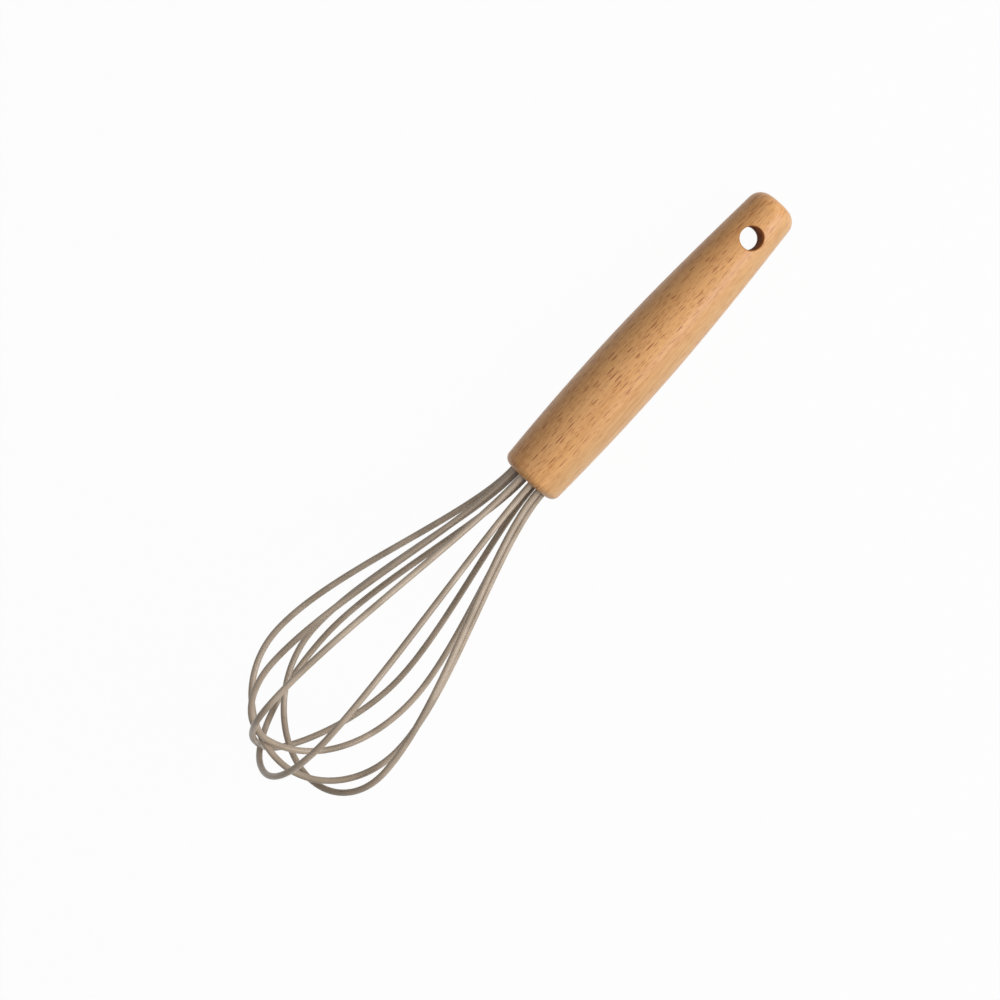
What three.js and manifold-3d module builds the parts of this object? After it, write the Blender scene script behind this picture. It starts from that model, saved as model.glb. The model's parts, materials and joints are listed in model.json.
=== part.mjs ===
// Balloon whisk at rest on a table: a turned beech handle, and five spring wire loops in silicone sleeves.
// The whisk's axis runs along +X from the handle to the tip, with the handle's whisk end at x = 0.
// A turn is an angle round the axis, counted from straight up towards +Y.
import * as THREE from 'three';
import { mergeVertices } from 'three/addons/utils/BufferGeometryUtils.js';
import Module from 'manifold-3d';

const wasm = await Module();
wasm.setup();

// Fits
const seatGap = 0.3;            // between pieces that sit in one another
const sleeveGap = 0.2;          // between a wire and its sleeve

// Loop wires and their sleeves
const wireDiameter = 1.0;
const sleeveWall = 0.4;
const crownGap = 0.4;           // between sleeves where the crowns pass over each other
const longestReach = 137.8;     // from the handle to the top of the longest loop's centre line
const ringRadius = 6.7;         // ring of leg centre lines at the handle
const ringTurn = -5.7;          // turn of the whole ring round the axis
const legPull = 0.236;          // share of a leg's height that it leaves the handle straight
const bellyPull = 0.29;         // share of a leg's height that its belly stays straight
const shoulderPull = 0.572;     // share of the crown's rise that a shoulder stays straight
const crownPull = 0.524;        // share of the crown's half width that its top stays level

// Each loop has an upper and a lower leg, given by the turn, radius and height of its belly.
// The crown's top lies off the axis, lean along the loop's plane and aside across it.
// Layers count sleeves down from the longest loop, and fullness squares a crown's shoulders.
const loops = [
  {
    hole: 18,
    upper: { turn: 15.6, radius: 29.85, height: 106.7 },
    lower: { turn: 211, radius: 32.8, height: 93.3 },
    lean: -1.3,
    aside: -2.3,
    layer: 0,
    fullness: 0.04,
  },
  {
    hole: 54,
    upper: { turn: 73.5, radius: 32.1, height: 108.2 },
    lower: { turn: 226.5, radius: 29.7, height: 92.4 },
    lean: 5.7,
    aside: 12.1,
    layer: 2.6,
    fullness: -0.01,
  },
  {
    hole: 90,
    upper: { turn: 83.7, radius: 29.5, height: 99.1 },
    lower: { turn: 264.4, radius: 30.5, height: 98.8 },
    lean: 1.9,
    aside: -4.5,
    layer: 2.6,
    fullness: 0.01,
  },
  {
    hole: -54,
    upper: { turn: -53.3, radius: 29, height: 104.3 },
    lower: { turn: 129.7, radius: 28.5, height: 87.1 },
    lean: 9.6,
    aside: 0.3,
    layer: 3.8,
    fullness: 0.03,
  },
  {
    hole: -18,
    upper: { turn: -25.9, radius: 32.5, height: 111.8 },
    lower: { turn: 153.7, radius: 30.5, height: 85.2 },
    lean: -5.4,
    aside: -8.5,
    layer: 1.7,
    fullness: -0.06,
  },
];

// Handle
const handleLength = 128;
const gripRadius = 12.55;       // at its widest
const gripPlace = 46;           // from the whisk end to the widest place
const topRadius = 8.65;         // at the top end, before its edge is rounded
const socketWall = 3.3;         // wood round the socket's mouth
const mouthSlope = 0.05;        // flare of the handle as it leaves the socket's mouth
const topSlope = -0.075;        // taper of the handle as it meets the top end
const mouthRound = 3.1;
const topRound = 4.8;
const holeDiameter = 8.4;
const holePlace = 15.6;         // from the top end to the hanging hole's middle
const holeTurn = 5;

// Spreader plug and glue in the socket
const plugRecess = 1.5;         // from the handle's end down to the plug's face
const plugLength = 12;
const plugChamfer = 0.6;
const glueLength = 15;
const wireCover = 2;            // glue under a wire's end

// How finely round things are divided
const handleSides = 32;
const sleeveSides = 8;
const wireSides = 6;
const legSteps = 10;
const crownSteps = 10;

// Sizes that follow
const wireRadius = wireDiameter / 2;
const sleeveBore = wireRadius + sleeveGap;
const sleeveRadius = sleeveBore + sleeveWall;
const socketRadius = ringRadius + sleeveRadius + seatGap;
const mouthRadius = socketRadius + socketWall;
const plugFace = -plugRecess;
const plugBack = plugFace - plugLength;
const sleeveEnd = plugBack;
const glueFace = plugBack - seatGap;
const glueBack = glueFace - glueLength;
const socketFloor = glueBack - seatGap;
const wireEnd = glueBack + wireCover;
const layerStep = 2 * sleeveRadius + crownGap;

const radians = THREE.MathUtils.degToRad;
const alongAxis = new THREE.Vector3(1, 0, 0);

function aroundAxis(radius, turn, x) {
  const angle = radians(turn);
  return new THREE.Vector3(x, radius * Math.sin(angle), radius * Math.cos(angle));
}

// A line through rings set out beforehand, so that a wire and its sleeve bend at the same places.
class RingLine extends THREE.Curve {
  constructor(rings) {
    super();
    this.rings = rings;
  }

  getPoint(t, target = new THREE.Vector3()) {
    const last = this.rings.length - 1;
    const place = THREE.MathUtils.clamp(t, 0, 1) * last;
    const before = Math.min(Math.floor(place), last - 1);
    return target.lerpVectors(this.rings[before], this.rings[before + 1], place - before);
  }

  getUtoTmapping(u) {
    return u;
  }
}

// The bent part of a loop: up one leg, over the crown and down the other leg.
function bentRings(loop) {
  const reach = longestReach - loop.layer * layerStep;
  const planeTurn = (loop.upper.turn + loop.lower.turn - 180) / 2;
  const top = aroundAxis(loop.lean, planeTurn, reach).add(aroundAxis(loop.aside, planeTurn + 90, 0));
  const bellies = [loop.upper, loop.lower].map((leg) => aroundAxis(leg.radius, leg.turn, leg.height));
  const across = bellies[0].clone().sub(bellies[1]).setX(0).normalize();
  const halves = bellies.map((belly, side) => {
    const root = aroundAxis(ringRadius, loop.hole + ringTurn + 180 * side, 0);
    const outward = side === 0 ? across : across.clone().negate();
    const halfWidth = belly.clone().sub(top).dot(outward);
    const leg = new THREE.CubicBezierCurve3(
      root,
      root.clone().addScaledVector(alongAxis, legPull * belly.x),
      belly.clone().addScaledVector(alongAxis, -bellyPull * belly.x),
      belly,
    );
    const crown = new THREE.CubicBezierCurve3(
      belly,
      belly.clone().addScaledVector(alongAxis, (shoulderPull + loop.fullness) * (reach - belly.x)),
      top.clone().addScaledVector(outward, (crownPull + loop.fullness) * halfWidth),
      top,
    );
    return [...leg.getPoints(legSteps), ...crown.getPoints(crownSteps).slice(1)];
  });
  return [...halves[0], ...halves[1].reverse().slice(1)];
}

// Both ends run on straight into the socket, as far as x = end.
function loopLine(loop, end) {
  const bent = bentRings(loop);
  const first = bent[0].clone().setX(end);
  const last = bent[bent.length - 1].clone().setX(end);
  return new RingLine([first, ...bent, last]);
}

function roundPoints(radius, sides) {
  return Array.from({ length: sides }, (_, i) => {
    const angle = (2 * Math.PI * i) / sides;
    return new THREE.Vector2(radius * Math.cos(angle), radius * Math.sin(angle));
  });
}

function swept(shape, line) {
  return new THREE.ExtrudeGeometry(shape, {
    steps: line.rings.length - 1,
    extrudePath: line,
    bevelEnabled: false,
  });
}

function sleeveShape() {
  const shape = new THREE.Shape(roundPoints(sleeveRadius, sleeveSides));
  shape.holes.push(new THREE.Path(roundPoints(sleeveBore, wireSides)));
  return shape;
}

// A turned piece: its outline is given as (radius, x), from the axis round to the axis.
function turned(outline) {
  return new THREE.LatheGeometry(outline, handleSides).rotateZ(-Math.PI / 2);
}

function toSolid(geometry) {
  const bare = geometry.clone();
  bare.deleteAttribute('normal');
  bare.deleteAttribute('uv');
  const merged = mergeVertices(bare, 1e-4);
  return new wasm.Manifold(new wasm.Mesh({
    numProp: 3,
    vertProperties: Float32Array.from(merged.attributes.position.array),
    triVerts: Uint32Array.from(merged.index.array),
  }));
}

function toGeometry(solid) {
  const mesh = solid.getMesh();
  const geometry = new THREE.BufferGeometry();
  geometry.setAttribute('position', new THREE.BufferAttribute(mesh.vertProperties, 3));
  geometry.setIndex(new THREE.BufferAttribute(mesh.triVerts, 1));
  geometry.computeVertexNormals();
  return geometry;
}

function cut(geometry, tools) {
  let solid = toSolid(geometry);
  for (const tool of tools) solid = solid.subtract(toSolid(tool));
  return toGeometry(solid);
}

// A round bar along the axis at each of the ring's ten legs, from x = from to x = to.
function ringBars(radius, from, to, sides) {
  return loops.flatMap((loop) => [0, 180].map((half) => {
    const bar = new THREE.CylinderGeometry(radius, radius, to - from, sides).rotateZ(Math.PI / 2);
    const middle = aroundAxis(ringRadius, loop.hole + ringTurn + half, (from + to) / 2);
    return bar.translate(middle.x, middle.y, middle.z);
  }));
}

// A quarter round of the outline, from one angle to another about its centre.
function roundEdge(radius, x, edge, from, to) {
  const arc = new THREE.Path().absarc(radius, x, edge, radians(from), radians(to), to < from);
  return arc.getPoints(4);
}

function handleGeometry() {
  const topEnd = -handleLength;
  const mouth = new THREE.Vector2(mouthRadius, 0);
  const grip = new THREE.Vector2(gripRadius, -gripPlace);
  const top = new THREE.Vector2(topRadius, topEnd);
  const lower = gripPlace / 3;
  const upper = (handleLength - gripPlace) / 3;
  const front = new THREE.CubicBezierCurve(
    mouth,
    new THREE.Vector2(mouth.x + mouthSlope * lower, -lower),
    new THREE.Vector2(grip.x, grip.y + lower),
    grip,
  );
  const rear = new THREE.CubicBezierCurve(
    grip,
    new THREE.Vector2(grip.x, grip.y - upper),
    new THREE.Vector2(top.x - topSlope * upper, topEnd + upper),
    top,
  );
  const side = [...front.getPoints(6), ...rear.getPoints(8).slice(1)];
  const plain = side.filter((p) => p.y < -mouthRound && p.y > topEnd + topRound);
  const outline = [
    new THREE.Vector2(0, topEnd),
    ...roundEdge(topRadius - topRound, topEnd + topRound, topRound, -90, -5),
    ...plain.reverse(),
    ...roundEdge(mouthRadius - mouthRound, -mouthRound, mouthRound, 5, 90),
    new THREE.Vector2(socketRadius, 0),
    new THREE.Vector2(socketRadius, socketFloor),
    new THREE.Vector2(0, socketFloor),
  ];
  const hole = new THREE.CylinderGeometry(holeDiameter / 2, holeDiameter / 2, 4 * gripRadius, handleSides);
  hole.rotateX(Math.PI / 2 - radians(holeTurn)).translate(topEnd + holePlace, 0, 0);
  return cut(turned(outline), [hole]);
}

function plugGeometry() {
  const radius = socketRadius - seatGap;
  const outline = [
    new THREE.Vector2(0, plugBack),
    new THREE.Vector2(radius - plugChamfer, plugBack),
    new THREE.Vector2(radius, plugBack + plugChamfer),
    new THREE.Vector2(radius, plugFace - plugChamfer),
    new THREE.Vector2(radius - plugChamfer, plugFace),
    new THREE.Vector2(0, plugFace),
  ];
  return cut(turned(outline), ringBars(sleeveRadius + seatGap, plugBack - 1, plugFace + 1, 12));
}

function glueGeometry() {
  const radius = socketRadius - seatGap;
  const outline = [
    new THREE.Vector2(0, glueBack),
    new THREE.Vector2(radius, glueBack),
    new THREE.Vector2(radius, glueFace),
    new THREE.Vector2(0, glueFace),
  ];
  return cut(turned(outline), ringBars(wireRadius + seatGap, wireEnd - seatGap, glueFace + 1, 8));
}

function material(color, roughness, metalness) {
  return new THREE.MeshStandardMaterial({ color, roughness, metalness });
}

const beech = material('#c08c5a', 0.5, 0);
const silicone = material('#8f8375', 0.75, 0);
const springSteel = material('#b9bbbd', 0.3, 1);
const plugPlastic = material('#57504a', 0.6, 0);
const curedGlue = material('#d8c48a', 0.4, 0);

const whisk = new THREE.Group();

function addPiece(name, geometry, finish) {
  const mesh = new THREE.Mesh(geometry, finish);
  mesh.name = name;
  whisk.add(mesh);
}

addPiece('beech_handle', handleGeometry(), beech);
addPiece('spreader_plug', plugGeometry(), plugPlastic);
addPiece('socket_glue', glueGeometry(), curedGlue);
loops.forEach((loop, i) => {
  addPiece(`silicone_sleeve_${i + 1}`, swept(sleeveShape(), loopLine(loop, sleeveEnd)), silicone);
  const wire = new THREE.Shape(roundPoints(wireRadius, wireSides));
  addPiece(`loop_wire_${i + 1}`, swept(wire, loopLine(loop, wireEnd)), springSteel);
});

// The lowest height of some pieces when the whisk is tipped up by a pitch about its handle end.
function lowest(prefix, pitch) {
  let low = Infinity;
  for (const mesh of whisk.children.filter((piece) => piece.name.startsWith(prefix))) {
    const place = mesh.geometry.attributes.position;
    for (let i = 0; i < place.count; i += 1) {
      low = Math.min(low, place.getX(i) * Math.sin(pitch) + place.getZ(i) * Math.cos(pitch));
    }
  }
  return low;
}

// It lies on the handle's top end and on the bellies of its two lowest legs.
let flat = 0;
let steep = radians(20);
for (let i = 0; i < 40; i += 1) {
  const pitch = (flat + steep) / 2;
  if (lowest('beech_handle', pitch) > lowest('silicone_sleeve', pitch)) flat = pitch;
  else steep = pitch;
}
whisk.rotation.y = -flat;

// The origin lies under the middle of the whisk, on the table.
const box = new THREE.Box3().setFromObject(whisk, true);
const middle = box.getCenter(new THREE.Vector3());
whisk.position.set(-middle.x, -middle.y, -box.min.z);

const part = new THREE.Group();
part.add(whisk);

export default part;
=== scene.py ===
# Balloon whisk lying on a pale table: turned beech handle, five wire loops in taupe silicone sleeves
import json
import math

import bmesh
import bpy
import numpy as np
from mathutils import Matrix

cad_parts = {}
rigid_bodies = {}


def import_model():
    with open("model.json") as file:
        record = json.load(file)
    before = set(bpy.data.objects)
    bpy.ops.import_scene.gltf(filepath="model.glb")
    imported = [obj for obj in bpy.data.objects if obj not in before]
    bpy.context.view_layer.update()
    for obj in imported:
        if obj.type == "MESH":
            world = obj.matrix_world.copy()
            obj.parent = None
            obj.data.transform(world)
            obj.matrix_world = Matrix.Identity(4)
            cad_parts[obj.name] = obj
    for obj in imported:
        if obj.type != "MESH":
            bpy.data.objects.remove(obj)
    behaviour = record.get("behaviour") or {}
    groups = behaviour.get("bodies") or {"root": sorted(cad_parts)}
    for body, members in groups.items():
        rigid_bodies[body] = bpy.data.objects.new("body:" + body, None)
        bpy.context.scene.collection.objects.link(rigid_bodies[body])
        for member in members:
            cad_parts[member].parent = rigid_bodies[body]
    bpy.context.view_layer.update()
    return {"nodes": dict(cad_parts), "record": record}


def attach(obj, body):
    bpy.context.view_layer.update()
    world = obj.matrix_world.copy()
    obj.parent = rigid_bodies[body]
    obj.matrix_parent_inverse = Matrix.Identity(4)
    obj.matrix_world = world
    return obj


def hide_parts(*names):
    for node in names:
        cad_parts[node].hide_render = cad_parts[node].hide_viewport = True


for leftover in list(bpy.data.objects):
    bpy.data.objects.remove(leftover)
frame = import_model()
nodes = frame["nodes"]
mm = 0.001
white = (1.0, 1.0, 1.0, 1.0)
print("frame loaded:", len(nodes), "nodes")


def unit(v):
    return v / np.linalg.norm(v, axis=-1, keepdims=True)


def cubic(p0, p1, p2, p3, t):
    # Bezier cubic from p0 to p3, pulled towards p1 and p2
    return (1 - t) ** 3 * p0 + 3 * (1 - t) ** 2 * t * p1 + 3 * (1 - t) * t ** 2 * p2 + t ** 3 * p3


def gridFaces(rows, columns, closeRows=False, closeColumns=False):
    # quads between neighbouring rows and columns, as index arrays
    r = np.arange(rows if closeRows else rows - 1)[:, None]
    c = np.arange(columns if closeColumns else columns - 1)[None, :]
    nextR = (r + 1) % rows
    nextC = (c + 1) % columns
    quads = [r * columns + c, r * columns + nextC, nextR * columns + nextC, nextR * columns + c]
    return np.stack([q.ravel() for q in quads], axis=1)


def meshPiece(name, points, faces, weld=None):
    # smooth faces that point outwards, with points nearer than the weld merged
    data = bpy.data.meshes.new(name)
    data.from_pydata(points.tolist(), [], faces.tolist())
    body = bmesh.new()
    body.from_mesh(data)
    if weld:
        bmesh.ops.remove_doubles(body, verts=body.verts, dist=weld)
        bmesh.ops.dissolve_degenerate(body, edges=body.edges, dist=weld)
    bmesh.ops.recalc_face_normals(body, faces=body.faces)
    body.to_mesh(data)
    body.free()
    data.polygons.foreach_set("use_smooth", np.ones(len(data.polygons), dtype=bool))
    piece = bpy.data.objects.new(name, data)
    bpy.context.scene.collection.objects.link(piece)
    return piece


def linear(hexColour):
    # sRGB hex to linear RGBA
    raw = np.array([int(hexColour[i:i + 2], 16) for i in (1, 3, 5)]) / 255
    rgb = np.where(raw <= 0.04045, raw / 12.92, ((raw + 0.055) / 1.055) ** 2.4)
    return (*rgb.tolist(), 1.0)


def addNode(tree, kind, settings=None, inputs=None):
    # one node with its settings; its inputs are values to set or sockets to link
    node = tree.nodes.new(kind)
    for key, value in (settings or {}).items():
        setattr(node, key, value)
    for key, value in (inputs or {}).items():
        if isinstance(value, bpy.types.NodeSocket):
            tree.links.new(value, node.inputs[key])
        else:
            node.inputs[key].default_value = value
    return node


eased = {"interpolation_type": "SMOOTHSTEP"}
sized = {"vector_type": "TEXTURE"}     # a mapping that divides by its scale, so a scale is a size
midNoise = {"From Min": 0.3, "From Max": 0.7}      # where most of a noise lies


def newMaterial(name):
    # a finish without nodes yet, and its node tree
    finish = bpy.data.materials.new(name)
    finish.use_nodes = True
    finish.node_tree.nodes.clear()
    return finish, finish.node_tree


def shade(tree, inputs):
    # the shader with its values and links, and the output it feeds
    shader = addNode(tree, "ShaderNodeBsdfPrincipled", inputs=inputs)
    addNode(tree, "ShaderNodeOutputMaterial", inputs={"Surface": shader.outputs["BSDF"]})


handle = {                     # millimetres
    "length": 128.0,
    "gripRadius": 12.55,       # at its widest
    "gripPlace": 46.0,         # from the mouth
    "topRadius": 8.65,         # before the edge is rounded
    "mouthRadius": 11.4,
    "mouthSlope": 0.05,
    "topSlope": -0.075,
    "mouthRound": 3.1,
    "topRound": 5.3,
    "topFlat": 1.5,            # radius of the first ring round the middle of the top end
    "socketRadius": 8.1,
    "socketDepth": 29.1,
    # the socket's lip, as steps out from its radius and places along the axis
    "socketLip": ((0.12, -0.02), (0.0, -0.15), (0.0, -3.0)),
    "holeRadius": 4.1,
    "holePlace": 15.7,         # from the top end
    "holeTurn": 5.0,           # degrees round the axis
    "holeAside": 0.3,          # of the hole's middle to the right of the axis
    "holeEdge": 0.5,           # rounding of the hole's rim
    "holeDrop": 1.15,          # from the rim's corner down to the plain wall, in edges
    "holeBand": 9.0,           # half length of the stretch that is laid out round the hole
    "halfSides": 48,           # faces round half of the handle
    "bandSteps": 20,           # faces along the stretch round the hole
    "bandRows": 15,            # rings from the stretch's outline in to the rim
    "bandCrowding": 1.5,       # how much closer they lie near the rim
    "rimRows": 9,
    "rimPull": 0.6,            # share of the way to its corner that the rim's curve is pulled
    "wallRows": 6,
    "roundRows": 12,
    "gripRows": 60,
    "rowStep": 0.6,            # from an end's round to the next ring
}

# The whisk's own frame: x along its axis from the handle's mouth to the tip, y to the right, z up
butt = next(m for m in frame["record"]["mounts"] if m["name"] == "butt_end")
toTip = unit(-np.array(butt["axis"]))
toRight = np.array([0.0, 1.0, 0.0])
toTop = np.cross(toTip, toRight)
whiskAxes = np.stack([toTip, toRight, toTop])
mouth = np.array(butt["pos_m"]) + toTip * handle["length"] * mm
pitch = math.atan2(toTip[2], toTip[0])


def place(points):
    # millimetres in the whisk's frame to metres in the part's frame
    return mouth + np.asarray(points) @ whiskAxes * mm


def sideRadius(x):
    # radius of the handle's plain side at x, by two cubics that meet level at the widest place
    h = handle
    x = np.asarray(x, dtype=float)
    rearSpan = h["length"] - h["gripPlace"]
    front = np.clip(-x / h["gripPlace"], 0, 1)
    rear = np.clip((-x - h["gripPlace"]) / rearSpan, 0, 1)
    mouthPull = h["mouthRadius"] + h["mouthSlope"] * h["gripPlace"] / 3
    topPull = h["topRadius"] - h["topSlope"] * rearSpan / 3
    ahead = cubic(h["mouthRadius"], mouthPull, h["gripRadius"], h["gripRadius"], front)
    behind = cubic(h["gripRadius"], h["gripRadius"], topPull, h["topRadius"], rear)
    return np.where(-x < h["gripPlace"], ahead, behind)


def lathe(outline, turns):
    # outline of (radius, x) carried round the axis, in the whisk's frame
    radius, x = outline.T
    angle = np.radians(turns)
    y = radius[:, None] * np.sin(angle)
    z = radius[:, None] * np.cos(angle)
    return np.stack([np.broadcast_to(x[:, None], y.shape), y, z], axis=-1)


def endRound(x, edge, slope):
    # quarter round from an end's flat at x to the side, which it meets along the side's own slope
    lean = math.atan(slope)
    middle = sideRadius(x + edge * (1 - math.sin(lean))) - abs(edge) * math.cos(lean)
    a = np.linspace(-math.pi / 2, -lean, handle["roundRows"])
    return np.stack([middle + abs(edge) * np.cos(a), x + edge + edge * np.sin(a)], axis=1)


def holeBand(xLow, xHigh, xHole):
    # The stretch of handle round the hole, as one grid: from the outline of the stretch's upper half
    # in to the rim, over the rim, through the hole and out to the outline of the lower half.
    h = handle
    half = h["halfSides"]
    steps = h["bandSteps"]
    across = np.linspace(-90, 90, half + 1)
    along = np.linspace(xHigh, xLow, steps + 1)
    edgeX = np.concatenate([np.full(half, xHigh), along[:-1], np.full(half, xLow), along[::-1][:-1]])
    edgeTurn = np.concatenate([across[:-1], np.full(steps, 90.0), across[::-1][:-1], np.full(steps, -90.0)])
    edgeY = sideRadius(edgeX) * np.sin(np.radians(edgeTurn))
    yHole = h["holeAside"]
    way = np.arctan2(edgeY - yHole, edgeX - xHole)
    rimRadius = h["holeRadius"] + h["holeEdge"]
    rimX = xHole + rimRadius * np.cos(way)
    rimY = yHole + rimRadius * np.sin(way)
    rimTurn = np.degrees(np.arcsin(rimY / sideRadius(rimX)))
    rows = []
    for share in np.linspace(1, 0, h["bandRows"]) ** h["bandCrowding"]:
        x = rimX + (edgeX - rimX) * share
        turn = np.radians(rimTurn + (edgeTurn - rimTurn) * share)
        r = sideRadius(x)
        rows.append(np.stack([x, r * np.sin(turn), r * np.cos(turn)], axis=1))
    rim = rows[-1]
    nudge = 0.02               # inward, to find how the skin slopes at the rim
    inX = xHole + (rimRadius - nudge) * np.cos(way)
    inY = yHole + (rimRadius - nudge) * np.sin(way)
    slope = (np.sqrt(sideRadius(inX) ** 2 - inY ** 2) - rim[:, 2]) / nudge
    corner = np.stack([xHole + h["holeRadius"] * np.cos(way), yHole + h["holeRadius"] * np.sin(way),
                       rim[:, 2] + slope * h["holeEdge"]], axis=1)
    wall = corner - np.array([0, 0, h["holeDrop"] * h["holeEdge"]])
    rimEnd = rim + h["rimPull"] * (corner - rim)
    wallEnd = wall + h["rimPull"] * (corner - wall)
    rows += [cubic(rim, rimEnd, wallEnd, wall, t) for t in np.linspace(0, 1, h["rimRows"])[1:]]
    rows += [wall * np.array([1, 1, share]) for share in np.linspace(1, 0, h["wallRows"])[1:]]
    upper = np.stack(rows)
    lower = upper[::-1][1:] * np.array([1, 1, -1])
    return np.concatenate([upper, lower])


def boredFaces(data, xHole, roll):
    # 1 for the faces of the hole's wall and most of its rim, by their reach from its axis, 0 for the rest
    rimShare = 0.7
    centres = np.empty(len(data.polygons) * 3)
    data.polygons.foreach_get("center", centres)
    local = (centres.reshape(-1, 3) - mouth) @ whiskAxes.T / mm
    aside = local[:, 1] * math.cos(roll) - local[:, 2] * math.sin(roll)
    reach = np.hypot(local[:, 0] - xHole, aside - handle["holeAside"])
    return (reach < handle["holeRadius"] + rimShare * handle["holeEdge"]).astype(np.int32)


def whiskPlace(tree):
    # the whisk's own coordinates in millimetres
    spot = addNode(tree, "ShaderNodeTexCoord").outputs["Object"]
    return addNode(tree, "ShaderNodeMapping", sized, {
        "Vector": spot, "Location": tuple(mouth),
        "Rotation": (0, -pitch, 0), "Scale": (mm, mm, mm)}).outputs["Vector"]


def grain(tree, spot, look):
    # noise whose lumps have a size in millimetres along x, y and z, turned about z by degrees
    laid = addNode(tree, "ShaderNodeMapping", sized, {
        "Vector": spot, "Rotation": (0, 0, math.radians(look.get("turn", 0.0))), "Scale": look["size"]})
    return addNode(tree, "ShaderNodeTexNoise", inputs={
        "Vector": laid.outputs["Vector"], "Scale": 1.0, "Detail": look.get("detail", 2.0)}).outputs["Fac"]


def tint(tree, under, pattern, look):
    # the look's colour laid over another by up to its share, as the pattern passes between two edges
    low, high = look["edges"]
    amount = addNode(tree, "ShaderNodeMapRange", eased, {
        "Value": pattern, "From Min": low, "From Max": high, "To Max": look["share"]})
    return addNode(tree, "ShaderNodeMix", {"data_type": "RGBA"}, {
        "Factor": amount.outputs["Result"], 6: under, 7: linear(look["colour"])}).outputs[2]


beech = {                      # all patterns in millimetres along, across and into the wood
    "colour": "#e9ae6d",
    "band": {"colour": "#dd9e5d", "size": (150.0, 7.0, 9.0), "turn": 2.0, "detail": 3.0,
             "edges": (0.34, 0.66), "share": 1.0},
    "paintedLight": {"colour": "#dfb480", "edges": (0.3, 0.8), "share": 0.8},      # painted light: the right flank paler, where the lamps light and reflect on it
    "streak": {"colour": "#bf7e44", "size": (60.0, 0.9, 2.0), "turn": 3.0, "detail": 4.0,
               "edges": (0.45, 0.75), "share": 0.45},
    "fibre": {"colour": "#bf7e44", "size": (6.0, 0.3, 0.6), "turn": -2.0,
              "edges": (0.42, 0.75), "share": 0.55},   # about twice as coarse as real fibres, to show
    # pores and flecks: one in each patch of skin, its size out to the faint edge
    "pore": {"colour": "#ae621f", "patch": (2.8, 0.75), "size": (2.8, 0.38),
             "edges": (0.0, 0.8), "share": 0.7},
    "fleck": {"colour": "#93480c", "patch": (5.6, 1.8), "size": (4.6, 0.52),
              "edges": (0.0, 0.8), "share": 0.85},
    "slant": -2.0,             # of the flecks from the axis, in degrees
    "dashStretch": (0.6, 1.25),    # least and most of a fleck's size
    "dashCore": 0.35,          # share of a fleck that is dark all through
    "dashChance": (0.05, 0.9),     # chances at which a fleck is faintest and strongest
    "girth": 12.0,             # radius at which the flecks keep their size
    "rayTurn": -35.0,          # turn of the flank that cuts the rays squarely, so shows the most flecks
    "rayEdges": (0.1, 0.95),
    "rayLeast": 0.3,           # share of the flecks that shows where the skin runs along the rays
    "heart": (5.0, 8.0),       # radii between which flecks fade out on the end grain
    "wander": 0.35,            # how far the flecks stray from straight
    "wanderScale": 0.12,       # strays to a millimetre
    "roughness": (0.42, 0.52),
    "relief": {"Strength": 0.12, "Distance": 0.0001},
    "shader": {"IOR": 1.5, "Specular IOR Level": 0.35, "Coat Weight": 0.4, "Coat Roughness": 0.3},
}


def dashes(tree, skin, look):
    # Spindles scattered over the skin, one in each patch. A spindle is 1 in its core and fades to 0
    # at half of its size from its centre. Chance stretches each one, and fades each one as a whole.
    laid = addNode(tree, "ShaderNodeMapping", sized, {
        "Vector": skin, "Rotation": (0, 0, math.radians(beech["slant"])), "Scale": (*look["patch"], 1.0)})
    laid = laid.outputs["Vector"]
    cell = addNode(tree, "ShaderNodeTexVoronoi", {"voronoi_dimensions": "2D"}, {
        "Vector": laid, "Scale": 1.0, "Randomness": 1.0}).outputs
    chance = addNode(tree, "ShaderNodeSeparateColor", inputs={"Color": cell["Color"]}).outputs
    off = addNode(tree, "ShaderNodeVectorMath", {"operation": "SUBTRACT"}, {0: laid, 1: cell["Position"]})
    along, across = (2 * p / s for p, s in zip(look["patch"], look["size"]))
    off = addNode(tree, "ShaderNodeVectorMath", {"operation": "MULTIPLY"}, {
        0: off.outputs["Vector"], 1: (along, across, 0.0)})
    reach = addNode(tree, "ShaderNodeVectorMath", {"operation": "LENGTH"}, {0: off.outputs["Vector"]})
    least, most = beech["dashStretch"]
    stretch = addNode(tree, "ShaderNodeMapRange", eased, {
        "Value": chance["Green"], "To Min": least, "To Max": most})
    reach = addNode(tree, "ShaderNodeMath", {"operation": "DIVIDE"}, {
        0: reach.outputs["Value"], 1: stretch.outputs["Result"]})
    shape = addNode(tree, "ShaderNodeMapRange", eased, {
        "Value": reach.outputs[0], "From Min": beech["dashCore"], "To Min": 1.0, "To Max": 0.0})
    faintest, strongest = beech["dashChance"]
    strength = addNode(tree, "ShaderNodeMapRange", eased, {
        "Value": chance["Red"], "From Min": faintest, "From Max": strongest})
    return addNode(tree, "ShaderNodeMath", {"operation": "MULTIPLY"}, {
        0: shape.outputs["Result"], 1: strength.outputs["Result"]}).outputs[0]


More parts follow.
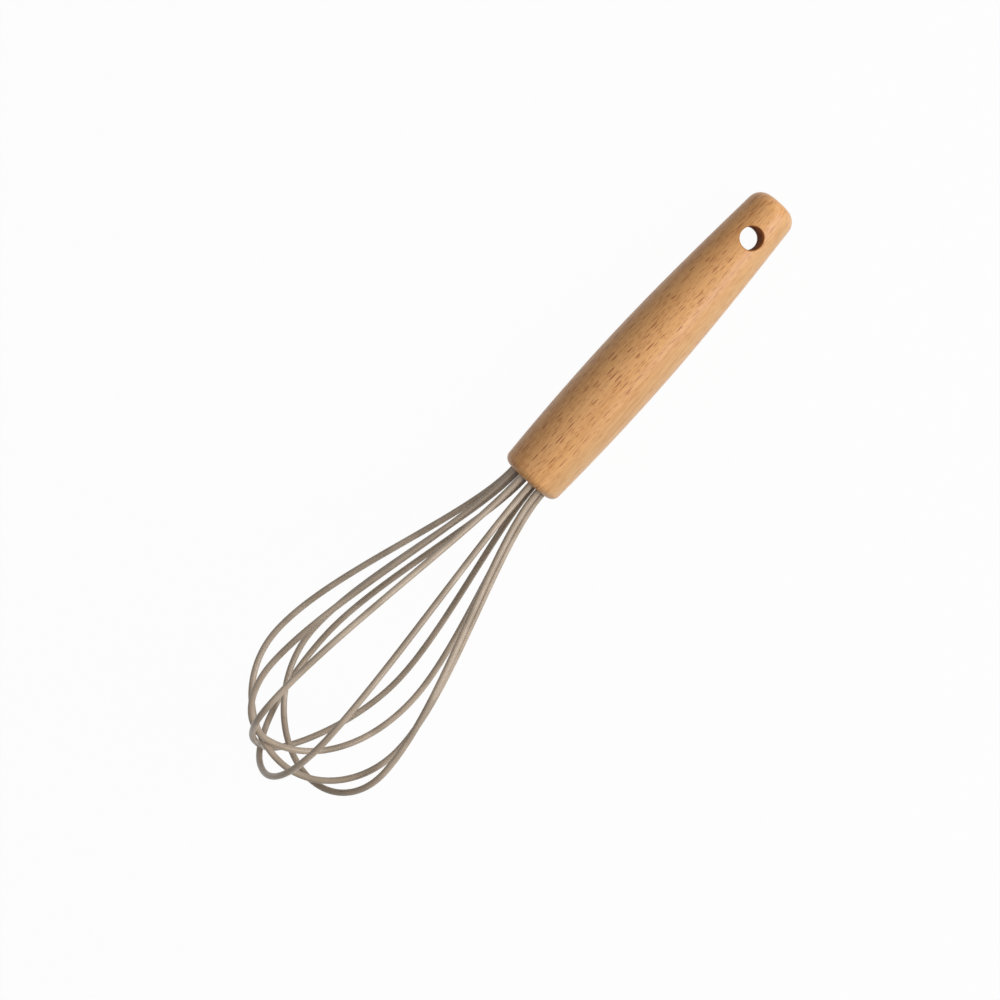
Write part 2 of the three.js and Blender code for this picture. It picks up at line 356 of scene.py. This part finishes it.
def fleckShare(tree, turn, y, z):
    # how much of the flecks shows: less where the skin runs along the rays, none on the end grain
    # near the axis
    fromRays = addNode(tree, "ShaderNodeMath", {"operation": "SUBTRACT"}, {
        0: turn, 1: math.radians(beech["rayTurn"])})
    square = addNode(tree, "ShaderNodeMath", {"operation": "COSINE"}, {0: fromRays.outputs[0]})
    square = addNode(tree, "ShaderNodeMath", {"operation": "ABSOLUTE"}, {0: square.outputs[0]})
    low, high = beech["rayEdges"]
    rich = addNode(tree, "ShaderNodeMapRange", eased, {
        "Value": square.outputs[0], "From Min": low, "From Max": high, "To Min": beech["rayLeast"]})
    outward = addNode(tree, "ShaderNodeCombineXYZ", inputs={"Y": y, "Z": z})
    radius = addNode(tree, "ShaderNodeVectorMath", {"operation": "LENGTH"}, {0: outward.outputs["Vector"]})
    inner, outer = beech["heart"]
    side = addNode(tree, "ShaderNodeMapRange", eased, {
        "Value": radius.outputs["Value"], "From Min": inner, "From Max": outer})
    return addNode(tree, "ShaderNodeMath", {"operation": "MULTIPLY"}, {
        0: rich.outputs["Result"], 1: side.outputs["Result"]}).outputs[0]


def beechMaterial():
    # steamed beech, turned and lacquered satin: warm tan, fine fibres along it and short dark ray flecks
    finish, tree = newMaterial("lacquered_beech")
    spot = whiskPlace(tree)
    fibre = grain(tree, spot, beech["fibre"])
    # the skin rolled out flat, as length along the axis and length round it, and bent a little
    part = addNode(tree, "ShaderNodeSeparateXYZ", inputs={"Vector": spot}).outputs
    turn = addNode(tree, "ShaderNodeMath", {"operation": "ARCTAN2"}, {
        0: part["Y"], 1: part["Z"]}).outputs[0]
    arc = addNode(tree, "ShaderNodeMath", {"operation": "MULTIPLY"}, {0: turn, 1: beech["girth"]})
    skin = addNode(tree, "ShaderNodeCombineXYZ", inputs={"X": part["X"], "Y": arc.outputs[0]})
    stray = addNode(tree, "ShaderNodeTexNoise", inputs={
        "Vector": spot, "Scale": beech["wanderScale"], "Detail": 2.0})
    skin = addNode(tree, "ShaderNodeVectorMath", {"operation": "MULTIPLY_ADD"}, {
        0: stray.outputs["Color"], 1: (beech["wander"],) * 3, 2: skin.outputs["Vector"]}).outputs["Vector"]
    share = fleckShare(tree, turn, part["Y"], part["Z"])
    pore, fleck = (addNode(tree, "ShaderNodeMath", {"operation": "MULTIPLY"}, {
        0: dashes(tree, skin, beech[kind]), 1: share}).outputs[0] for kind in ("pore", "fleck"))
    # painted light: the sine of the turn, rising over the right flank, where a paler colour stands in for
    # the lamps' light
    flank = addNode(tree, "ShaderNodeMath", {"operation": "SINE"}, {0: turn}).outputs[0]
    colour = tint(tree, linear(beech["colour"]), grain(tree, spot, beech["band"]), beech["band"])
    colour = tint(tree, colour, flank, beech["paintedLight"])
    colour = tint(tree, colour, grain(tree, spot, beech["streak"]), beech["streak"])
    colour = tint(tree, colour, fibre, beech["fibre"])
    colour = tint(tree, colour, pore, beech["pore"])
    colour = tint(tree, colour, fleck, beech["fleck"])
    smooth, rough = beech["roughness"]
    roughness = addNode(tree, "ShaderNodeMapRange", eased, {
        "Value": fibre, **midNoise, "To Min": smooth, "To Max": rough})
    height = addNode(tree, "ShaderNodeMath", {"operation": "SUBTRACT"}, {0: fibre, 1: fleck})
    bump = addNode(tree, "ShaderNodeBump", inputs={**beech["relief"], "Height": height.outputs[0]})
    shade(tree, {"Base Color": colour, "Roughness": roughness.outputs["Result"],
                 "Normal": bump.outputs["Normal"], **beech["shader"]})
    return finish


def plainMaterial(name, look):
    # a finish of one noise, which moves its colour and its roughness together, and its relief if it has one
    finish, tree = newMaterial(name)
    noise = grain(tree, whiskPlace(tree), look)
    colour = addNode(tree, "ShaderNodeMix", {"data_type": "RGBA"}, {
        "Factor": noise, 6: linear(look["light"]), 7: linear(look["dark"])}).outputs[2]
    smooth, rough = look["roughness"]
    roughness = addNode(tree, "ShaderNodeMapRange", eased, {
        "Value": noise, **midNoise, "To Min": smooth, "To Max": rough})
    inputs = {"Base Color": colour, "Roughness": roughness.outputs["Result"], **look["shader"]}
    if "relief" in look:
        bump = addNode(tree, "ShaderNodeBump", inputs={**look["relief"], "Height": noise})
        inputs["Normal"] = bump.outputs["Normal"]
    shade(tree, inputs)
    return finish


boredBeech = {                 # end grain without lacquer, which drinks the oil and goes dark and dull
    "size": (3.0, 0.4, 3.0),
    "light": "#c98a4b",
    "dark": "#a86d38",
    "roughness": (0.75, 0.9),
    "relief": {"Strength": 0.2, "Distance": 0.0001},
    "shader": {"Specular IOR Level": 0.25},
}


def handlePiece():
    # three grids that meet ring on ring: the top end, the stretch round the hole, the grip with its socket
    h = handle
    top = -h["length"]
    xHole = top + h["holePlace"]
    xLow = xHole - h["holeBand"]
    xHigh = xHole + h["holeBand"]
    turns = np.linspace(-90, 270, 2 * h["halfSides"] + 1)
    roundTop = endRound(top, h["topRound"], -h["topSlope"])
    nearTop = np.linspace(roundTop[-1, 1] + h["rowStep"], xLow, 4)
    endPart = np.concatenate([
        [[0, top], [h["topFlat"], top]], roundTop, np.stack([sideRadius(nearTop), nearTop], axis=1)])
    roundMouth = endRound(0.0, -h["mouthRound"], h["mouthSlope"])[::-1]
    grip = np.linspace(xHigh, roundMouth[0, 1] - h["rowStep"], h["gripRows"])
    floor = -h["socketDepth"]
    gripPart = np.concatenate([
        np.stack([sideRadius(grip), grip], axis=1), roundMouth,
        [[h["socketRadius"] + out, x] for out, x in h["socketLip"]],
        [[h["socketRadius"], floor], [0, floor]]])
    grids = [lathe(endPart, turns), holeBand(xLow, xHigh, xHole), lathe(gripPart, turns)]
    points = []
    faces = []
    start = 0
    for grid, closed in zip(grids, (False, True, False)):
        rows, columns = grid.shape[:2]
        points.append(grid.reshape(-1, 3))
        faces.append(gridFaces(rows, columns, closeColumns=closed) + start)
        start += rows * columns
    a = math.radians(h["holeTurn"])
    rolled = np.concatenate(points) @ np.array([
        [1, 0, 0], [0, math.cos(a), -math.sin(a)], [0, math.sin(a), math.cos(a)]])
    piece = meshPiece("turned_handle", place(rolled), np.concatenate(faces), weld=2e-6)
    piece.data.materials.append(beechMaterial())
    piece.data.materials.append(plainMaterial("bored_beech", boredBeech))
    piece.data.polygons.foreach_set("material_index", boredFaces(piece.data, xHole, a))
    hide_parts("beech_handle")
    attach(piece, "root")
    print("handle:", len(piece.data.polygons), "faces")


silicone = {                   # pattern sizes in millimetres
    "colour": "#c1ae99",
    "mottle": {"colour": "#a89682", "size": (14.0, 14.0, 14.0), "edges": (0.35, 0.65), "share": 1.0},
    "skin": {"size": (0.5, 0.5, 0.5), "detail": 1.0},
    "roughness": (0.27, 0.38),
    "relief": {"Strength": 0.02, "Distance": 0.00005},
    "shader": {"IOR": 1.41, "Specular IOR Level": 0.75, "Sheen Weight": 0.05},
}


def siliconeMaterial():
    # platinum silicone, extruded over wire: soft matte taupe with a faint waxy sheen
    finish, tree = newMaterial("taupe_silicone")
    spot = whiskPlace(tree)
    mottle = grain(tree, spot, silicone["mottle"])
    smooth, rough = silicone["roughness"]
    roughness = addNode(tree, "ShaderNodeMapRange", eased, {
        "Value": mottle, **midNoise, "To Min": smooth, "To Max": rough})
    bump = addNode(tree, "ShaderNodeBump", inputs={
        **silicone["relief"], "Height": grain(tree, spot, silicone["skin"])})
    colour = tint(tree, linear(silicone["colour"]), mottle, silicone["mottle"])
    shade(tree, {"Base Color": colour, "Roughness": roughness.outputs["Result"],
                 "Normal": bump.outputs["Normal"], **silicone["shader"]})
    return finish


# Loops, in the sizes of their wires
balloon = {                    # millimetres
    "reach": 137.8,            # from the mouth to the top of the longest loop's line
    "layerStep": 2.6,          # between the tops of loops that pass over each other
    "ringRadius": 6.7,         # ring of legs at the mouth
    "ringTurn": -5.7,
    "legPull": 0.236,          # share of a leg's height that it leaves the handle straight
    "bellyPull": 0.29,         # share of a leg's height that its belly stays straight
    "shoulderPull": 0.572,     # share of the crown's rise that a shoulder stays straight
    "crownPull": 0.524,        # share of the crown's half width that its top stays level
    "sleeveRadius": 1.15,
    "sleeveBore": 0.7,
    "sleeveEnd": -13.5,        # in the socket
    "legStart": -0.6,          # last ring of the straight end in the socket
    "sides": 24,
    "socketSteps": 8,
    "legSteps": 60,
    "crownSteps": 60,
}
loops = [                      # legs as turn, radius and height of the belly
    {"hole": 18, "upper": (15.6, 29.85, 106.7), "lower": (211, 32.8, 93.3),
     "lean": -1.3, "aside": -2.3, "layer": 0, "fullness": 0.04},
    {"hole": 54, "upper": (73.5, 32.1, 108.2), "lower": (226.5, 29.7, 92.4),
     "lean": 5.7, "aside": 12.1, "layer": 2.6, "fullness": -0.01},
    {"hole": 90, "upper": (83.7, 29.5, 99.1), "lower": (264.4, 30.5, 98.8),
     "lean": 1.9, "aside": -4.5, "layer": 2.6, "fullness": 0.01},
    {"hole": -54, "upper": (-53.3, 29, 104.3), "lower": (129.7, 28.5, 87.1),
     "lean": 9.6, "aside": 0.3, "layer": 3.8, "fullness": 0.03},
    {"hole": -18, "upper": (-25.9, 32.5, 111.8), "lower": (153.7, 30.5, 85.2),
     "lean": -5.4, "aside": -8.5, "layer": 1.7, "fullness": -0.06},
]


def aroundAxis(radius, turn, x):
    # the point at a radius from the axis, turned from the top towards the right by degrees, and x along it
    a = math.radians(turn)
    return np.array([x, radius * math.sin(a), radius * math.cos(a)])


def loopLine(loop):
    # up one leg, over the crown and down the other, by two cubics a side, with straight ends in the socket
    b = balloon
    axis = np.array([1.0, 0.0, 0.0])
    reach = b["reach"] - loop["layer"] * b["layerStep"]
    plane = (loop["upper"][0] + loop["lower"][0] - 180) / 2
    top = aroundAxis(loop["lean"], plane, reach) + aroundAxis(loop["aside"], plane + 90, 0)
    bellies = [aroundAxis(radius, turn, height) for turn, radius, height in (loop["upper"], loop["lower"])]
    across = unit((bellies[0] - bellies[1]) * np.array([0, 1, 1]))
    legShare = np.linspace(0, 1, b["legSteps"] + 1)[:, None]
    crownShare = np.linspace(0, 1, b["crownSteps"] + 1)[1:, None]
    halves = []
    for side, (belly, outward) in enumerate(zip(bellies, (across, -across))):
        root = aroundAxis(b["ringRadius"], loop["hole"] + b["ringTurn"] + 180 * side, 0)
        socket = np.linspace(b["sleeveEnd"], b["legStart"], b["socketSteps"])[:, None] * axis + root
        leg = cubic(root, root + axis * b["legPull"] * belly[0], belly - axis * b["bellyPull"] * belly[0],
                    belly, legShare)
        shoulder = axis * (b["shoulderPull"] + loop["fullness"]) * (reach - belly[0])
        level = outward * (b["crownPull"] + loop["fullness"]) * np.dot(belly - top, outward)
        crown = cubic(belly, belly + shoulder, top + level, top, crownShare)
        halves.append(np.concatenate([socket, leg, crown]))
    return np.concatenate([halves[0], halves[1][::-1][1:]]), np.cross(axis, across)


def sleevePiece(number, loop, finish):
    # a ring carried along the loop's line, out along the skin and back along the bore
    b = balloon
    line, planeNormal = loopLine(loop)
    tangent = unit(np.gradient(line, axis=0))
    side = unit(planeNormal - (tangent @ planeNormal)[:, None] * tangent)
    up = np.cross(tangent, side)
    a = np.linspace(0, 2 * math.pi, b["sides"], endpoint=False)
    ring = np.cos(a)[None, :, None] * side[:, None] + np.sin(a)[None, :, None] * up[:, None]
    skin = line[:, None] + b["sleeveRadius"] * ring
    bore = (line[:, None] + b["sleeveBore"] * ring)[::-1]
    grid = np.concatenate([skin, bore])
    faces = gridFaces(*grid.shape[:2], closeRows=True, closeColumns=True)
    piece = meshPiece(f"sleeve_{number}", place(grid.reshape(-1, 3)), faces)
    piece.data.materials.append(finish)
    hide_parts(f"silicone_sleeve_{number}")
    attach(piece, "root")


springSteel = {                # drawn wire: bright, with fine lines along it
    "size": (8.0, 0.1, 0.1),
    "light": "#b4b6b8",
    "dark": "#8f9194",
    "roughness": (0.25, 0.4),
    "shader": {"Metallic": 1.0},
}
nylon = {                      # moulded: dark taupe with a fine spark-eroded grain
    "size": (0.25, 0.25, 0.25),
    "light": "#5b534b",
    "dark": "#4a433d",
    "roughness": (0.5, 0.65),
    "relief": {"Strength": 0.2, "Distance": 0.0001},
    "shader": {},
}
epoxy = {                      # cured: amber and glossy, slightly clouded
    "size": (2.0, 2.0, 2.0),
    "light": "#d9c58c",
    "dark": "#c7ae6c",
    "roughness": (0.2, 0.35),
    "shader": {},
}


def dressNodes():
    # the pieces inside keep their solids and get their own finish
    steel = plainMaterial("drawn_spring_steel", springSteel)
    inside = {f"loop_wire_{i + 1}": steel for i in range(len(loops))}
    inside["spreader_plug"] = plainMaterial("moulded_nylon", nylon)
    inside["socket_glue"] = plainMaterial("cured_epoxy", epoxy)
    for name, finish in inside.items():
        nodes[name].data.materials.clear()
        nodes[name].data.materials.append(finish)
    print("inside:", len(inside), "nodes dressed")


# Camera, set by how the axis lies in the picture
shot = {
    "distance": 760.0,         # from the camera to the picture's middle, in millimetres
    "tilt": 4.51,              # of the axis from the picture's plane, tip away, in degrees
    "roll": 42.08,             # of the axis in the picture
    "right": -2.77,            # the picture's middle, in the whisk's frame
    "ahead": 11.6,
    "scale": 130 / 375,        # millimetres to a pixel at that distance
    "frame": 1000,             # pixels
    "sensor": 36.0,
}


def cameraAxes():
    # the picture's right, up and back, and its middle, from the whisk's axis by its tilt and roll
    tilt = math.radians(shot["tilt"])
    roll = math.radians(shot["roll"])
    along = math.cos(tilt) * toTip + math.sin(tilt) * toTop
    back = -math.sin(tilt) * toTip + math.cos(tilt) * toTop
    right = math.cos(roll) * toRight - math.sin(roll) * along
    up = np.cross(back, right)
    middle = mouth + (along * shot["ahead"] + toRight * shot["right"]) * mm
    return right, up, back, middle


def stand(name, data, axes, spot):
    # a camera or lamp, turned to three axes and set on a spot
    body = bpy.data.objects.new(name, data)
    body.matrix_world = Matrix((*zip(*axes, spot), (0, 0, 0, 1)))
    bpy.context.scene.collection.objects.link(body)
    return body


def addCamera():
    right, up, back, middle = cameraAxes()
    lens = bpy.data.cameras.new("photo_camera")
    lens.sensor_width = shot["sensor"]
    lens.lens = shot["sensor"] * shot["distance"] / (shot["scale"] * shot["frame"])
    lens.clip_start = 0.01
    spot = middle + back * shot["distance"] * mm
    bpy.context.scene.camera = stand("photo_camera", lens, (right, up, back), spot)
    print("camera:", int(lens.lens), "mm lens")


# Lamps, placed by the picture: right, up and towards the camera from its middle, in metres
lamps = {
    "key": {"at": (0.9, -0.05, 0.7), "size": 0.8, "watts": 8.5},
    "fill": {"at": (-0.15, 0.15, 1.05), "size": 1.0, "watts": 2.0},
    "softbox": {"at": (0.75, 0.6, 0.3), "size": 0.2, "watts": 0.8},
    "sheen": {"at": (0.77, -0.45, 0.82), "size": 0.35, "watts": 1.8},
}


def addLamps():
    right, up, back, middle = cameraAxes()
    for name, lamp in lamps.items():
        light = bpy.data.lights.new(name, "AREA")
        light.size = lamp["size"]
        light.energy = lamp["watts"]
        spot = middle + np.array(lamp["at"]) @ np.stack([right, up, back])
        away = unit(spot - middle)
        flat = unit(np.cross(up, away))
        stand(name, light, (flat, np.cross(away, flat), away), spot)
    print("lamps:", len(lamps))


surround = {
    "floorHalf": 3.0,          # metres
    "floorColour": "#c9c9c7",
    "floorGlow": 0.97,         # share of the floor that shows white, without its shadow
    "light": 0.17,             # of the world on the object
}


def seenDirectly(tree):
    # 1 for what the camera sees, directly or in a reflection or through glass
    path = addNode(tree, "ShaderNodeLightPath").outputs
    seen = addNode(tree, "ShaderNodeMath", {"operation": "MAXIMUM"}, {
        0: path["Is Camera Ray"], 1: path["Is Glossy Ray"]})
    return addNode(tree, "ShaderNodeMath", {"operation": "MAXIMUM"}, {
        0: seen.outputs[0], 1: path["Is Transmission Ray"]}).outputs[0]


def addFloor():
    half = surround["floorHalf"]
    corners = np.array([[-half, -half, 0], [half, -half, 0], [half, half, 0], [-half, half, 0]])
    floor = meshPiece("floor", corners, np.array([[0, 1, 2, 3]]))
    finish, tree = newMaterial("white_floor")
    plain = addNode(tree, "ShaderNodeBsdfDiffuse", inputs={"Color": linear(surround["floorColour"])})
    glow = addNode(tree, "ShaderNodeEmission", inputs={"Color": white, "Strength": 1.0})
    share = addNode(tree, "ShaderNodeMath", {"operation": "MULTIPLY"}, {
        0: seenDirectly(tree), 1: surround["floorGlow"]})
    blend = addNode(tree, "ShaderNodeMixShader", inputs={
        "Fac": share.outputs[0], 1: plain.outputs["BSDF"], 2: glow.outputs["Emission"]})
    addNode(tree, "ShaderNodeOutputMaterial", inputs={"Surface": blend.outputs["Shader"]})
    floor.data.materials.append(finish)


def addWorld():
    world = bpy.data.worlds.new("studio")
    world.use_nodes = True
    tree = world.node_tree
    tree.nodes.clear()
    strength = addNode(tree, "ShaderNodeMapRange", eased, {
        "Value": seenDirectly(tree), "To Min": surround["light"]})
    sky = addNode(tree, "ShaderNodeBackground", inputs={
        "Color": white, "Strength": strength.outputs["Result"]})
    addNode(tree, "ShaderNodeOutputWorld", inputs={"Surface": sky.outputs["Background"]})
    bpy.context.scene.world = world


addCamera()
handlePiece()
taupe = siliconeMaterial()
for i, loop in enumerate(loops):
    sleevePiece(i + 1, loop, taupe)
print("sleeves:", len(loops))
dressNodes()
addFloor()
addLamps()
addWorld()
bpy.context.scene.view_settings.view_transform = "Standard"
